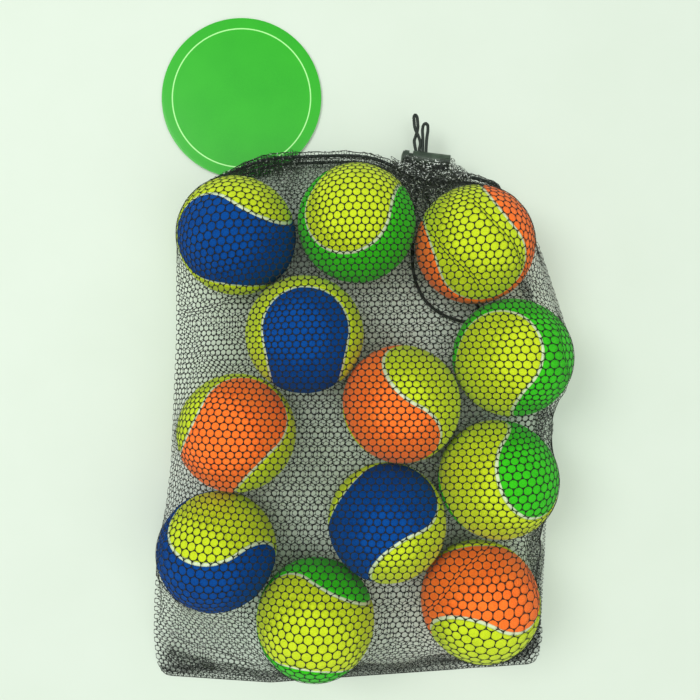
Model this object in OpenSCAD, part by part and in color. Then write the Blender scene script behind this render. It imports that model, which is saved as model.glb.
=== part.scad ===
// Mesh ball bag with drawcord, cord lock and hang tag, holding a dozen two-tone felt balls.
// The bag lies flat on its back: +Z is up, +Y points to the mouth, and z = 0 is the table.

/* [Balls] */
// Diameter over the felt
ball_d = 66; // [64:0.5:66]
// Thickness of the felt
felt_t = 3; // [2:0.5:4]
// Wall of the rubber core
core_wall = 3.6; // [3:0.1:6]
// Width of the seam strip between two felt panels
seam_w = 2.2; // [1.6:0.2:3]
// Depth of the seam strip below the felt
seam_recess = 0.8; // [0.4:0.1:1.2]
// Tilt of the felt lobes, which sets how wide the waist of a panel is
lobe_tilt = 10; // [10:1:20]

/* [Ball places] */
// Ball 1, blue: centre seen from above
ball_01_at = [-70, 103]; // [-90:1:110]
// Ball 1: turn of its felt pattern about X, Y and Z
ball_01_turn = [-100, -20, 70]; // [-180:5:180]
// Ball 2, green: centre
ball_02_at = [-3, 110]; // [-90:1:110]
// Ball 2: turn
ball_02_turn = [130, -70, 120]; // [-180:5:180]
// Ball 3, orange: centre
ball_03_at = [63, 98]; // [-90:1:110]
// Ball 3: turn
ball_03_turn = [-40, 70, 80]; // [-180:5:180]
// Ball 4, blue: centre
ball_04_at = [-32, 48]; // [-90:1:110]
// Ball 4: turn
ball_04_turn = [-85, 5, 0]; // [-180:5:180]
// Ball 5, green: centre
ball_05_at = [84, 35]; // [-90:1:110]
// Ball 5: turn
ball_05_turn = [125, 55, 5]; // [-180:5:180]
// Ball 6, orange: centre
ball_06_at = [-70, -7]; // [-90:1:110]
// Ball 6: turn
ball_06_turn = [115, 0, 145]; // [-180:5:180]
// Ball 7, orange: centre
ball_07_at = [22, 9]; // [-90:1:110]
// Ball 7: turn
ball_07_turn = [100, -35, 45]; // [-180:5:180]
// Ball 8, green: centre
ball_08_at = [76, -33]; // [-90:1:110]
// Ball 8: turn
ball_08_turn = [-45, -15, 135]; // [-180:5:180]
// Ball 9, blue: centre
ball_09_at = [-81, -73]; // [-90:1:110]
// Ball 9: turn
ball_09_turn = [130, -35, 80]; // [-180:5:180]
// Ball 10, blue: centre
ball_10_at = [14, -57]; // [-90:1:110]
// Ball 10: turn
ball_10_turn = [120, 30, 135]; // [-180:5:180]
// Ball 11, green: centre
ball_11_at = [-26, -111]; // [-120:1:110]
// Ball 11: turn
ball_11_turn = [15, -60, 150]; // [-180:5:180]
// Ball 12, orange: centre
ball_12_at = [66, -101]; // [-120:1:110]
// Ball 12: turn
ball_12_turn = [100, 40, 80]; // [-180:5:180]

/* [Net bag] */
// Thickness allowed for a layer of net
net_t = 0.8; // [0.6:0.1:0.9]
// Gap between a ball and the net
net_gap = 1.2; // [1:0.1:1.6]
// Height of a ball's centre above the table
ball_z = 34; // [34:0.5:36]
// Radius of the bag's flat corners
corner_r = 6; // [4:0.5:8]
// Width of the sewn seams
bag_seam_w = 2.4; // [1.5:0.1:3]

/* [Mouth] */
// Diameter of the drawcord
cord_d = 1.8; // [1.4:0.1:2]
// Outside diameter of the gathered hem
hem_d = 5.2; // [4.8:0.1:6]
// Height of the upper hem's centre line
hem_top_z = 20; // [18:0.5:22]
// Height of the lower hem's centre line
hem_low_z = 6; // [5:0.5:8]
// Width of the mouth
mouth_w = 174; // [160:1:176]
// Rise of the hem from the mouth's corners to its middle
mouth_rise = 18.5; // [14:0.5:19]
// Dip of the hem at the cord lock
cinch_dip = 9.5; // [7:0.5:10]

/* [Cord lock] */
// Length of the barrel
barrel_l = 21.5; // [21:0.5:26]
// Width of the barrel
barrel_w = 8.4; // [8:0.2:10]
// Height of the barrel
barrel_h = 10; // [10:0.2:12]
// Travel of the push button
button_travel = 2; // [1:0.5:2]
// Tilt of the lock in the plane of the bag
lock_tilt = 7; // [0:1:8]

/* [Hang tag] */
// Diameter of the tag
tag_d = 97; // [80:1:97]
// Thickness of the tag
tag_t = 0.5; // [0.3:0.1:0.6]
// Diameter of the string hole
tag_hole_d = 4; // [3:0.5:5]

/* [Hidden] */
BALL_COUNT = 12;
function two(i) = i < 10 ? str("0", i) : str(i);
$fn = 48;

big = 400;

// Centre, turn and second colour of every ball.
balls = [
    [ball_01_at, ball_01_turn, "royalblue"],
    [ball_02_at, ball_02_turn, "limegreen"],
    [ball_03_at, ball_03_turn, "orangered"],
    [ball_04_at, ball_04_turn, "royalblue"],
    [ball_05_at, ball_05_turn, "limegreen"],
    [ball_06_at, ball_06_turn, "orangered"],
    [ball_07_at, ball_07_turn, "orangered"],
    [ball_08_at, ball_08_turn, "limegreen"],
    [ball_09_at, ball_09_turn, "royalblue"],
    [ball_10_at, ball_10_turn, "royalblue"],
    [ball_11_at, ball_11_turn, "limegreen"],
    [ball_12_at, ball_12_turn, "orangered"]
];

ball_r = ball_d / 2;
glue = 0.05;
core_r = ball_r - felt_t - glue;
felt_in_r = ball_r - felt_t + glue;
seam_r = ball_r - seam_recess;
// Half angle of a felt lobe: the four arcs of the seam line meet smoothly for any tilt.
lobe_angle = acos(cos(lobe_tilt) / sqrt(2));
felt_edge = asin((seam_w / 2 + glue) / ball_r);
seam_edge = asin((seam_w / 2 - glue) / ball_r);

// ---- Balls ----------------------------------------------------------------------------------

module place_ball(i) {
    at = balls[i - 1][0];
    translate([at[0], at[1], ball_z])
        rotate(balls[i - 1][1])
            children();
}

module shell(inner, outer) {
    difference() {
        sphere(r = outer);
        sphere(r = inner);
    }
}

// Shell of the felt. Its poles are turned onto the seam line, so that no felt panel holds a pole.
module felt_shell() {
    rotate(a = 90, v = [1, -1, 0])
        shell(felt_in_r, ball_r);
}

// Half of space on the side of the z = 0 plane that sign points to, within a ball's reach.
module half_space(sign) {
    side = 3 * ball_r;
    translate([0, 0, sign * side / 2])
        cube(side, center = true);
}

// Cone from the ball's centre about a direction in the XZ plane, "down" degrees below +X.
module lobe_cone(down, half_angle) {
    reach = 1.6 * ball_r;
    rotate([0, 90 + down, 0])
        cylinder(h = reach, r1 = 0, r2 = reach * tan(half_angle));
}

// The pair of cones of the panel whose lobes lie on +X and -X, below the middle.
module lobe_pair(half_angle) {
    for (turn = [0, 180])
        rotate([0, 0, turn])
            lobe_cone(lobe_tilt, half_angle);
}

// Exchanges the two panels of a ball.
module swap_panels() {
    rotate(a = 180, v = [1, 1, 0])
        children();
}

// Dog-bone panel: two lobes below the middle, joined by a waist over the top.
module felt_panel() {
    union() {
        intersection() {
            felt_shell();
            half_space(-1);
            lobe_pair(lobe_angle - felt_edge);
        }
        difference() {
            intersection() {
                felt_shell();
                half_space(1);
            }
            swap_panels()
                lobe_pair(lobe_angle + felt_edge);
        }
    }
}

// The lower half of the seam strip, two arcs round the lobes.
module seam_half() {
    difference() {
        intersection() {
            shell(felt_in_r, seam_r);
            half_space(-1);
            lobe_pair(lobe_angle + seam_edge);
        }
        lobe_pair(lobe_angle - seam_edge);
    }
}

module ball_core(i) {
    color("dimgray")
        place_ball(i)
            shell(core_r - core_wall, core_r);
}

module ball_yellow_felt(i) {
    color("greenyellow")
        place_ball(i)
            felt_panel();
}

module ball_color_felt(i) {
    color(balls[i - 1][2])
        place_ball(i)
            swap_panels()
                felt_panel();
}

module ball_seam(i) {
    color("honeydew")
        place_ball(i)
            union() {
                seam_half();
                swap_panels()
                    seam_half();
            }
}

// ---- Bag outline ----------------------------------------------------------------------------

// Centres of the round corners of the flat bag, anticlockwise from the lower left.
corners = [
    [-115, -151], [-55, -155], [101, -144], [110, 35], [76, 128], [-89, 128], [-108, -70]
];
corner_n = len(corners);

function edge_angle(i) =
    let (a = corners[i % corner_n], b = corners[(i + 1) % corner_n])
    atan2(b[1] - a[1], b[0] - a[0]);

// Angle between the outward directions of the edges before and after a corner.
function corner_sweep(i) =
    let (turn = edge_angle(i) - edge_angle(i + corner_n - 1))
    turn < 0 ? turn + 360 : turn;

// Convex outline at distance r from the corner centres.
function outline(r) = [
    for (i = [0:corner_n - 1], k = [0:4])
        let (a = edge_angle(i + corner_n - 1) - 90 + corner_sweep(i) * k / 4)
        corners[i] + r * [cos(a), sin(a)]
];

module box_between(low, high) {
    translate(low)
        cube(high - low);
}

// Sewn edge round the outside of the net, cut to the box between two corners in plan.
module seam_ring(low, high) {
    intersection() {
        difference() {
            linear_extrude(height = 2 * net_t)
                polygon(outline(corner_r + 0.2 + bag_seam_w));
            translate([0, 0, -1])
                linear_extrude(height = 2 * net_t + 2)
                    polygon(outline(corner_r + 0.2));
        }
        box_between([low[0], low[1], -1], [high[0], high[1], 10]);
    }
}

seam_split_y = -139.5;
mouth_seam_y = 124;

module back_net() {
    color("darkslategray")
        linear_extrude(height = net_t)
            polygon(outline(corner_r));
}

module right_seam() {
    color("black")
        seam_ring([70, seam_split_y + 0.2], [150, mouth_seam_y]);
}

module bottom_seam() {
    color("black")
        seam_ring([-150, -180], [150, seam_split_y]);
}

// ---- Mouth line -----------------------------------------------------------------------------

mouth_x = -5.5;
mouth_y = 133.5;
mouth_r = (pow(mouth_w / 2, 2) + pow(mouth_rise, 2)) / (2 * mouth_rise);
lock_x = 34.5;
cinch_w = 20;

// Height of the hem's centre line up the bag, over x.
function hem_y(x) =
    mouth_y + mouth_rise - mouth_r + sqrt(pow(mouth_r, 2) - pow(x - mouth_x, 2))
    - cinch_dip * exp(-pow((x - lock_x) / cinch_w, 2));

hem_gap = 4.2;
hem_end_r = (hem_top_z - hem_low_z) / 2;
hem_left = mouth_x - mouth_w / 2 + hem_end_r;
hem_right = mouth_x + mouth_w / 2 - hem_end_r;
hem_step = 6;

// Run of the hem at one height, from x0 to x1, ends included.
function hem_run(x0, x1, z) =
    let (n = ceil(abs(x1 - x0) / hem_step))
    [for (i = [0:n]) let (x = x0 + (x1 - x0) * i / n) [x, hem_y(x), z]];

// Half turn from one height to the other at a corner of the mouth; side is 1 or -1 along X.
function hem_turn(x, side, up) = [
    for (a = [-60:30:60])
        let (dx = side * hem_end_r * cos(a))
        [x + dx, hem_y(x + dx), (hem_top_z + hem_low_z) / 2 + (up ? 1 : -1) * hem_end_r * sin(a)]
];

// The hem's centre line, from the right of the gap round the mouth to the left of the gap.
hem_path = concat(
    hem_run(lock_x + hem_gap, hem_right, hem_top_z),
    hem_turn(hem_right, 1, false),
    hem_run(hem_right, hem_left, hem_low_z),
    hem_turn(hem_left, -1, true),
    hem_run(hem_left, lock_x - hem_gap, hem_top_z)
);

// ---- Swept round sections -------------------------------------------------------------------

function unit(v) = v / norm(v);

function spline_point(a, b, c, d, t) =
    0.5 * ((2 * b) + (c - a) * t + (2 * a - 5 * b + 4 * c - d) * t * t
           + (3 * b - a - 3 * c + d) * t * t * t);

// Smooth run through the inner points of a list; the first and last only guide it.
function spline(p, steps) = [
    for (i = [1:len(p) - 3], k = [0:steps - 1])
        spline_point(p[i - 1], p[i], p[i + 1], p[i + 2], k / steps)
];

function direction(p, i, closed) =
    let (n = len(p),
         a = closed ? p[(i + n - 1) % n] : p[max(i - 1, 0)],
         b = closed ? p[(i + 1) % n] : p[min(i + 1, n - 1)])
    unit(b - a);

// Side direction of each ring, carried along the path so that the section doesn't twist.
function carried(side, along) = unit(side - (side * along) * along);
function ring_sides(p, closed, first) = [
    for (i = 0, s = carried(first, direction(p, 0, closed));
         i < len(p);
         i = i + 1, s = i < len(p) ? carried(s, direction(p, i, closed)) : s) s
];

function ring(centre, along, side, r, sides, turn) =
    let (up = cross(along, side))
    [for (k = [0:sides - 1])
        let (a = turn + 360 * k / sides)
        centre + r * (side * cos(a) + up * sin(a))];

// Closed round loop of radius r through the points p.
module closed_tube(p, r, sides) {
    n = len(p);
    s = ring_sides(p, true, [0, 0, 1]);
    d0 = direction(p, 0, true);
    last = carried(s[n - 1], d0);
    twist = atan2(cross(s[0], last) * d0, s[0] * last);
    points = [for (i = [0:n - 1]) each ring(p[i], direction(p, i, true), s[i], r, sides, -twist * i / n)];
    faces = [for (i = [0:n - 1], k = [0:sides - 1], half = [0, 1])
        let (j = (i + 1) % n,
             m = (k + 1) % sides,
             a = i * sides + k,
             b = i * sides + m,
             c = j * sides + m,
             d = j * sides + k)
        half == 0 ? [a, b, c] : [a, c, d]];
    polyhedron(points = points, faces = [for (f = faces) [f[2], f[1], f[0]]], convexity = 10);
}

// Open round tube with a wall between two radii.
module open_tube(p, inner, outer, sides) {
    n = len(p);
    s = ring_sides(p, false, [0, 0, 1]);
    wall = n * sides;
    out_points = [for (i = [0:n - 1]) each ring(p[i], direction(p, i, false), s[i], outer, sides, 0)];
    in_points = [for (i = [0:n - 1]) each ring(p[i], direction(p, i, false), s[i], inner, sides, 0)];
    skin = [for (i = [0:n - 2], k = [0:sides - 1], half = [0, 1])
        let (m = (k + 1) % sides,
             a = i * sides + k,
             b = i * sides + m,
             c = a + sides,
             d = b + sides)
        half == 0 ? [a, c, d] : [a, d, b]];
    lining = [for (f = skin) [f[2] + wall, f[1] + wall, f[0] + wall]];
    rim = [for (end = [0, 1], k = [0:sides - 1], half = [0, 1])
        let (m = (k + 1) % sides,
             o = end * (n - 1) * sides,
             a = o + k,
             b = o + m,
             f = half == 0 ? [a, b, b + wall] : [a, b + wall, a + wall])
        end == 0 ? f : [f[2], f[1], f[0]]];
    polyhedron(points = concat(out_points, in_points), faces = concat(skin, lining, rim), convexity = 10);
}

// ---- Drawcord and hem -----------------------------------------------------------------------

pair_x = 2.3;
pair_z = 1.15;
bight_end = 35;
second_bight_end = 30.5;
slack_z = 2.4;

// Narrow bight of cord out through the lock and back, at one x.
function bight(x, reach, from_z, to_z) =
    let (y0 = hem_y(lock_x))
    [[x, y0 + 3.4, from_z], [x, y0 + 10, from_z], [x, y0 + 20, from_z],
     [x, y0 + reach - 1.4, from_z], [x, y0 + reach, (from_z + to_z) / 2], [x, y0 + reach - 1.4, to_z],
     [x, y0 + 20, to_z], [x, y0 + 10, to_z], [x, y0 + 3.4, to_z]];

// The slack cord that lies inside the bag: out beside ball 3 to ball 5, and back below them.
slack_points = [
    [lock_x - pair_x, hem_y(lock_x) - 5, hem_top_z + pair_z - 1.5],
    [31.5, 118, 7], [31, 100, slack_z], [31.5, 88, slack_z], [34, 78, slack_z], [39, 69, slack_z],
    [47, 62, slack_z], [56, 58, slack_z], [65, 56, slack_z], [71, 59, slack_z], [70, 67, slack_z],
    [60, 76, slack_z], [49, 86, slack_z], [43, 100, slack_z], [43, 118, 6],
    [lock_x + pair_x, hem_y(lock_x) - 5, hem_top_z + pair_z - 1.5]
];

low_z = hem_top_z - pair_z;
high_z = hem_top_z + pair_z;
cord_free = concat(
    [[lock_x - pair_x - 0.6, hem_y(lock_x) + 0.9, hem_top_z - 0.5]],
    bight(lock_x - pair_x, bight_end, low_z, high_z),
    slack_points,
    bight(lock_x + pair_x, second_bight_end, high_z, low_z),
    [[lock_x + pair_x + 0.6, hem_y(lock_x) + 0.9, hem_top_z - 0.5]]
);

cord_path = concat(
    hem_path,
    spline(concat([hem_path[len(hem_path) - 2], hem_path[len(hem_path) - 1]], cord_free,
                  [hem_path[0], hem_path[1]]), 3)
);

// The spline starts at the hem's last point, so that point is listed once.
cord_points = [for (i = [0:len(cord_path) - 1]) if (i != len(hem_path) - 1) cord_path[i]];

module drawcord() {
    color("black")
        closed_tube(cord_points, cord_d / 2, 10);
}

module mouth_hem() {
    color("darkslategray")
        open_tube(hem_path, cord_d / 2 + 0.4, hem_d / 2, 12);
}

// ---- Front net ------------------------------------------------------------------------------

// Tent over the balls and the flat corners; grow is the distance of the skin from the balls.
module tent(grow, corner, base_z, top_z) {
    hull() {
        for (b = balls)
            translate([b[0][0], b[0][1], ball_z])
                sphere(r = ball_r + grow, $fn = 32);
        for (c = corners)
            translate([c[0], c[1], base_z])
                cylinder(r = corner, h = top_z - base_z, $fn = 32);
        for (x = [-80:28:60])
            translate([x, hem_y(x) + 3, hem_top_z])
                sphere(r = corner - 5, $fn = 16);
    }
}

module front_net() {
    color("darkslategray")
        difference() {
            tent(net_gap + net_t, corner_r, net_t + 0.1, 3);
            tent(net_gap, corner_r - net_t, -1, 3 - net_t);
            mouth_opening();
            translate([-big / 2, -big / 2, -big + net_t + 0.1])
                cube(big);
        }
}

// Space on the mouth's side of the hem, reaching further into the bag below the upper hem.
module mouth_opening() {
    mouth_block(3.4, 60);
    mouth_block(8, hem_top_z - hem_d / 2);
}

module mouth_block(inset, top_z) {
    edge = [for (x = [-130:5:110]) [x, (x < hem_left || x > hem_right ? mouth_y - 4 : hem_y(x)) - inset]];
    translate([0, 0, -1])
        linear_extrude(height = top_z + 1)
            polygon(concat(edge, [[110, 200], [-130, 200]]));
}

// ---- Cord lock ------------------------------------------------------------------------------

// Clear distance from the hem to the barrel, over the middle of the mouth's dip.
lock_gap = 4.2;
lock_y = hem_y(lock_x) + hem_d / 2 + lock_gap + barrel_w / 2;
slot_h = 2 * pair_z + cord_d + 0.5;
cord_room = cord_d / 2 + 0.35;
slot_left = -pair_x - cord_room;
slot_right = pair_x + cord_room;
barrel_left = -5.1;
barrel_wall = 1.4;
stem_w = barrel_w - 2 * barrel_wall - 0.1;
stem_h = barrel_h - 2 * barrel_wall - 0.1;
stem_right = slot_right + button_travel + 1.6;
spring_left = stem_right;
spring_right = barrel_left + barrel_l - barrel_wall;

// Frame of the lock: the barrel's axis is +X, and the cord passes it along +Y.
module lock_frame() {
    translate([lock_x, lock_y, hem_top_z])
        rotate([0, 0, -lock_tilt])
            children();
}

// Bar along X with an oblong section.
module oblong_bar(x0, x1, w, h) {
    translate([x0, 0, 0])
        rotate([90, 0, 90])
            linear_extrude(height = x1 - x0)
                union() {
                    translate([0, (h - w) / 2])
                        circle(d = w);
                    translate([0, -(h - w) / 2])
                        circle(d = w);
                    square([w, h - w], center = true);
                }
}

// Slot for the two bights, square to the bag's mouth and so turned back by the tilt.
module cord_slot(x0, x1) {
    rotate([0, 0, lock_tilt])
        translate([x0, -barrel_w, -slot_h / 2])
            cube([x1 - x0, 2 * barrel_w, slot_h]);
}

module lock_barrel() {
    color("darkslategray")
        lock_frame()
            difference() {
                oblong_bar(barrel_left, barrel_left + barrel_l, barrel_w, barrel_h);
                oblong_bar(barrel_left - 1, spring_right, barrel_w - 2 * barrel_wall, barrel_h - 2 * barrel_wall);
                cord_slot(slot_left, slot_right + button_travel);
            }
}

head_gap = button_travel + 0.3;
head_t = 2.6;
head_x = barrel_left - head_gap;

module lock_plunger() {
    color("black")
        lock_frame()
            union() {
                difference() {
                    oblong_bar(head_x - 1, stem_right, stem_w, stem_h);
                    cord_slot(slot_left - button_travel, slot_right);
                }
                oblong_bar(head_x - head_t, head_x, barrel_w - 0.4, barrel_h - 0.4);
                dome();
            }
}

// Rounded face of the push button.
module dome() {
    dome_r = 9;
    cap = 1.6;
    translate([head_x - head_t - cap + dome_r, 0, 0])
        intersection() {
            sphere(r = dome_r);
            translate([-dome_r - 1, -dome_r, -dome_r])
                cube([cap + 1.01, 2 * dome_r, 2 * dome_r]);
            rotate([0, 90, 0])
                cylinder(r = barrel_w / 2 - 0.4, h = 4 * dome_r, center = true);
        }
}

coil_r = 1.9;
wire_r = 0.3;
coil_turns = 4;

// Compression spring behind the plunger: a row of closed coils joined into one helix.
module lock_spring() {
    color("silver")
        lock_frame()
            helix_tube(spring_left + wire_r + 0.15, spring_right - wire_r - 0.15);
}

// Round wire wound about X, as an open solid bar.
module helix_tube(x0, x1) {
    steps = 12 * coil_turns;
    points = [for (i = [0:steps])
        let (a = 360 * coil_turns * i / steps)
        [x0 + (x1 - x0) * i / steps, coil_r * cos(a), coil_r * sin(a)]];
    bar(points, wire_r, 6);
}

// Open solid round bar through the points p.
module bar(p, r, sides) {
    n = len(p);
    s = ring_sides(p, false, [1, 0, 0]);
    points = [for (i = [0:n - 1]) each ring(p[i], direction(p, i, false), s[i], r, sides, 0)];
    skin = [for (i = [0:n - 2], k = [0:sides - 1], half = [0, 1])
        let (m = (k + 1) % sides,
             a = i * sides + k,
             b = i * sides + m,
             c = a + sides,
             d = b + sides)
        half == 0 ? [a, c, d] : [a, d, b]];
    start = [for (k = [0:sides - 1]) k];
    end = [for (k = [0:sides - 1]) n * sides - 1 - k];
    polyhedron(points = points, faces = concat(skin, [start, end]), convexity = 10);
}

// ---- Hang tag -------------------------------------------------------------------------------

tag_at = [-72.5, 192];
tag_z = 1.1;
hole_at = [-68, 151.5];
string_r = 0.35;

module hang_tag() {
    color("limegreen")
        difference() {
            translate([tag_at[0], tag_at[1], tag_z])
                cylinder(d = tag_d, h = tag_t, $fn = 96);
            translate([hole_at[0], hole_at[1], tag_z - 1])
                cylinder(d = tag_hole_d, h = tag_t + 2);
        }
}

// Thin loop through the tag's hole and round the lower hem.
string_points = let (x = hole_at[0], y = hem_y(hole_at[0]), z = hem_low_z, r = hem_d / 2 + 1) [
    [x, hole_at[1], tag_z + tag_t / 2],
    [x, hole_at[1] - 1.6, 0.5],
    [x, y + 1, 0.45],
    [x, y - 1.5, 1.9],
    [x, y - r, z],
    [x, y, z + r],
    [x, y + r, z + 0.5],
    [x, hole_at[1] - 0.3, z - 2]
];

module tag_string() {
    n = len(string_points);
    path = [for (i = [0:n - 1], k = [0:2])
        spline_point(string_points[(i + n - 1) % n], string_points[i],
                     string_points[(i + 1) % n], string_points[(i + 2) % n], k / 3)];
    color("gainsboro")
        closed_tube(path, string_r, 8);
}

// ---- Parts ----------------------------------------------------------------------------------

for (i = [1:BALL_COUNT]) {
    ball_core(i);
    ball_yellow_felt(i);
    ball_color_felt(i);
    ball_seam(i);
}
front_net();
back_net();
right_seam();
bottom_seam();
mouth_hem();
drawcord();
lock_barrel();
lock_plunger();
lock_spring();
hang_tag();
tag_string();
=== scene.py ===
"""Looks of a mesh ball bag: felt balls in a knitted net, with a drawcord, a cord lock and a hang tag.

Points are in millimetres in the CAD model's frame, and become metres where a mesh is made.
A net is a brick-wall lattice of points[k, m]: m runs round the bag and k from the bottom to the mouth.
"""
import math

import bmesh
import bpy
import numpy as np
from mathutils import Matrix, Vector
from mathutils.geometry import delaunay_2d_cdt


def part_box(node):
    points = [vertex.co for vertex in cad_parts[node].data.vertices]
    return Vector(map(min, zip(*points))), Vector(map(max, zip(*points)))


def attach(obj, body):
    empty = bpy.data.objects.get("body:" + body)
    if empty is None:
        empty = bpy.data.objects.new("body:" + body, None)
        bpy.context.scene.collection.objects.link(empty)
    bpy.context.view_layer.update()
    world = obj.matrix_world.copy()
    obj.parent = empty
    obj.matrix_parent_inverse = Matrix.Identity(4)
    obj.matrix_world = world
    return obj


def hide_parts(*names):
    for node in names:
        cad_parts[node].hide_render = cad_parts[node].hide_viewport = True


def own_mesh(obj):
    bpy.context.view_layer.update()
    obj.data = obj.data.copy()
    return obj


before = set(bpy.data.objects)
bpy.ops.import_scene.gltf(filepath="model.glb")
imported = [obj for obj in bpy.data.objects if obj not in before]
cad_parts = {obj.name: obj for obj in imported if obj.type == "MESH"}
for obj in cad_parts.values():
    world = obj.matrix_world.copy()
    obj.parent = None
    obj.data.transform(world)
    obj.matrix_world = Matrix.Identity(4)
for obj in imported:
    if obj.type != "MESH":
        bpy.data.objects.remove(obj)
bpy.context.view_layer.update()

MM = 0.001

# Balls
BALL_COLORS = ("blue", "green", "orange", "blue", "green", "orange",
               "orange", "green", "blue", "blue", "green", "orange")
BALL_R = 33.0
LOBE_TILT = math.radians(10)
LOBE_ANGLE = math.acos(math.cos(LOBE_TILT) / math.sqrt(2))
SEAM_HALF = 1.05          # half the gap between two felt panels
LIP_W = 1.3               # width of the felt's rounded lip
LIP_DROP = 0.75           # how far the lip curves down to the seam
LINING_R = 30.15          # inside of the felt, on the core
NAP_HEIGHT = 0.11

# Net
ROUND_POINTS = 266        # lattice points round the bag, two for each cell
ROWS = 106
FRONT_HALF_W = 0.135
BACK_HALF_W = 0.075       # the back net is stretched flat on the table, so its threads are thin
THREAD_HALF_T = 0.11
HOLE_ROUNDING = 2.7       # how far a cell's corners are filled, in half widths of its thread
BALL_GAP = 0.3            # from a ball to the middle of the thread
FLOOR_Z = 0.35
FRONT_LIFT = 0.9          # least height of the front net over the back net
TENT_HEIGHT = 69          # height over the table at which the net starts
ROW_SLANT = 0.035         # how much further up the bag a row lies at the left fold than at the seam

# The straight run of net from ball 3 to ball 5, which stands off the table.
BRIDGE_X, BRIDGE_Y, BRIDGE_LEAN, BRIDGE_RISE = 99.5, 101, 0.33, 29

# Flat outline of the bag: centres of its round corners, and the hem's line, as in the CAD.
CORNERS = np.array([[-115, -151], [-55, -155], [101, -144], [110, 35],
                    [76, 128], [-89, 128], [-108, -70]], float)
SEAM_OFFSET = 7.4
MOUTH_X, MOUTH_Y, MOUTH_W, MOUTH_RISE = -5.5, 133.5, 174.0, 18.5
LOCK_X, CINCH_DIP, CINCH_W = 34.5, 9.5, 20.0
HEM_TOP_Z, HEM_LOW_Z, HEM_GAP = 20.0, 6.0, 4.2
CORD_R = 0.9
LOCK_TILT = math.radians(7)
SPRING_R, WIRE_R, SPRING_TURNS = 1.9, 0.3, 4

# Seam stitching and hang tag
STITCH_PITCH, STITCH_R, STITCH_POINTS = 2.3, 0.16, 8
TAG_HOLE, TAG_HOLE_R = (4.5, -40.5), 2.0
RING_SHARE, RING_HALF_W = 0.864, 0.28

# Stage, in metres
FLOOR_R = 12.0
CAMERA_AT = (-0.0067, 0.0392, 0.426)


# ---- Small helpers -----------------------------------------------------------------------------

def node_box(node):
    """Lowest and highest corner of a CAD node, in mm."""
    low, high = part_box(node)
    return np.array(low) / MM, np.array(high) / MM


def node_mesh(node):
    """Vertices of a CAD node in mm, and its triangles."""
    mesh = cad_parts[node].data
    mesh.calc_loop_triangles()
    co = np.zeros(len(mesh.vertices) * 3)
    mesh.vertices.foreach_get("co", co)
    tri = np.zeros(len(mesh.loop_triangles) * 3, np.int32)
    mesh.loop_triangles.foreach_get("vertices", tri)
    return co.reshape(-1, 3) / MM, tri.reshape(-1, 3)


def unit(v):
    return v / np.maximum(np.linalg.norm(v, axis=-1, keepdims=True), 1e-9)


def smoothstep(x, low, high):
    t = np.clip((x - low) / (high - low), 0, 1)
    return t * t * (3 - 2 * t)


def bell(x, middle, width):
    return np.exp(-((x - middle) / width) ** 2)


def waves(points, shortest, longest, count, seed):
    """Smooth noise of about -1 to 1 from random plane waves, at points in mm."""
    rng = np.random.default_rng(seed)
    direction = unit(rng.normal(size=(count, 3)))
    length = rng.uniform(shortest, longest, count)
    phase = rng.uniform(0, 2 * np.pi, count)
    angle = points @ (direction * (2 * np.pi / length)[:, None]).T + phase
    return np.sin(angle).sum(-1) / math.sqrt(count)


def resample(path, count, weight=None):
    """count points along a polyline, evenly spaced or crowded where weight(point) is large."""
    path = np.asarray(path, float)
    step = np.linalg.norm(np.diff(path, axis=0), axis=1)
    if weight is not None:
        step = step * weight((path[1:] + path[:-1]) / 2)
    s = np.concatenate([[0], np.cumsum(step)])
    at = np.linspace(0, s[-1], count)
    return np.stack([np.interp(at, s, path[:, i]) for i in range(path.shape[1])], 1)


def spline(control, steps):
    """Catmull-Rom curve through the inner control points."""
    p = np.asarray(control, float)
    t = (np.arange(steps) / steps)[:, None]
    parts = []
    for a, b, c, d in zip(p[:-3], p[1:-2], p[2:-1], p[3:]):
        parts.append(0.5 * (2 * b + (c - a) * t + (2 * a - 5 * b + 4 * c - d) * t * t
                            + (3 * b - a - 3 * c + d) * t ** 3))
    parts.append(p[-2:-1])
    return np.concatenate(parts)


# ---- Meshes and pieces -------------------------------------------------------------------------

def new_mesh(name, points, *faces):
    """Smooth mesh from points in mm and arrays of faces, each array of one face size."""
    loops = np.concatenate([f.ravel() for f in faces]).astype(np.int64)
    used, loops = np.unique(loops, return_inverse=True)
    sizes = np.concatenate([np.full(len(f), f.shape[1]) for f in faces])
    mesh = bpy.data.meshes.new(name)
    mesh.vertices.add(len(used))
    mesh.vertices.foreach_set("co", (points[used] * MM).astype(np.float32).ravel())
    mesh.loops.add(len(loops))
    mesh.loops.foreach_set("vertex_index", loops.astype(np.int32).ravel())
    mesh.polygons.add(len(sizes))
    mesh.polygons.foreach_set("loop_start", (np.cumsum(sizes) - sizes).astype(np.int32))
    mesh.polygons.foreach_set("use_smooth", np.ones(len(sizes), bool))
    mesh.update(calc_edges=True)
    return mesh


def piece(name, mesh, material, body, slot, *nodes, place=None):
    """Puts a mesh in the scene on a CAD body, standing for the CAD nodes named."""
    mesh.materials.clear()
    mesh.materials.append(material)
    obj = bpy.data.objects.new(name, mesh)
    bpy.context.scene.collection.objects.link(obj)
    if place is not None:
        obj.matrix_world = place
    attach(obj, body)
    if nodes:
        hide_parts(*nodes)
    return obj


def carried_sides(path, closed):
    """Unit direction and two side directions at every point of a path, without twist."""
    if closed:
        along = unit(np.roll(path, -1, 0) - np.roll(path, 1, 0))
    else:
        along = unit(np.gradient(path, axis=0))
    side = np.empty_like(along)
    guess = np.array([0.0, 0.0, 1.0])
    if abs(along[0][2]) > 0.9:
        guess = np.array([1.0, 0.0, 0.0])
    for i, d in enumerate(along):
        guess = guess - (guess @ d) * d
        guess = guess / np.linalg.norm(guess)
        side[i] = guess
    return along, side, np.cross(along, side)


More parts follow.
